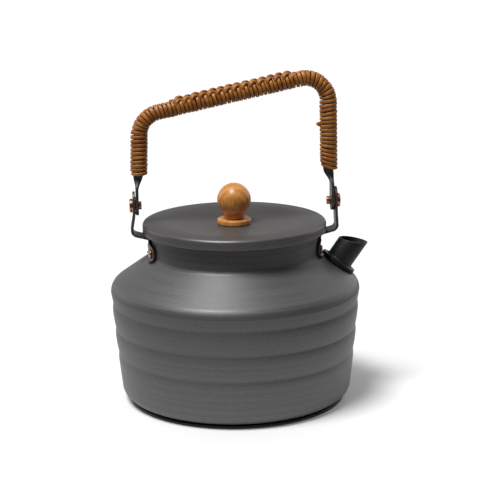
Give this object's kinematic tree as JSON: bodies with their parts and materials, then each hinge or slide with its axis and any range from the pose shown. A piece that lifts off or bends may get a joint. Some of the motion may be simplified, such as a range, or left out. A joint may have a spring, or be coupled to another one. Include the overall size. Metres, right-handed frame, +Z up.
{
  "type": "camping kettle",
  "caption": "Squat ribbed aluminium camping kettle with a short spout, wooden knob on a lift-off lid and a swinging bail handle bound in cane.",
  "frame": {"origin": "centre of the base, on the surface that the kettle stands on", "axes": "+Z up, +X toward the spout, the bail handle stands in the X and Z plane, -Y is the side that the picture shows"},
  "size_m": [0.1661, 0.1594, 0.2121],
  "materials": {
    "anodised": "dark warm grey hard anodised, fine matte grain",
    "dark_plate": "darker grey, matte",
    "knob_wood": "oiled, open grain",
    "brass_insert": "turned",
    "steel": "plain",
    "spout_anodised": "near black anodised, matte",
    "gasket_rubber": "matte",
    "copper": "polished copper",
    "black_washer": "matte black",
    "bail_metal": "dark grey, satin",
    "cane": "stained brown cane, lightly waxed"
  },
  "bodies": {
    "kettle": {"body_shell": "anodised", "base_plate": "dark_plate", "spout": "spout_anodised", "spout_gasket": "gasket_rubber", "bracket_right": "anodised", "bracket_left": "anodised", "neck_rivet_right_front": "copper", "neck_rivet_right_rear": "copper", "neck_rivet_left_front": "copper", "neck_rivet_left_rear": "copper", "hinge_rivet_right": "copper", "hinge_rivet_left": "copper", "hinge_washer_right": "black_washer", "hinge_washer_left": "black_washer"},
    "lid": {"lid_pan": "anodised", "knob_base": "knob_wood", "knob_ball": "knob_wood", "knob_insert": "brass_insert", "knob_washer": "steel", "knob_screw": "steel"},
    "bail": {"bail_tube": "bail_metal", "cane_wrap": "cane"}
  },
  "joints": [
    {"name": "bail_hinge", "type": "hinge", "parent": "kettle", "child": "bail", "pos_m": [0, 0, 0.1272], "axis": [1, 0, 0], "range_deg": [-115, 115]},
    {"name": "lid_lift", "type": "slide", "parent": "kettle", "child": "lid", "axis": [0, 0, 1], "range_m": [0, 0.02]}
  ]
}
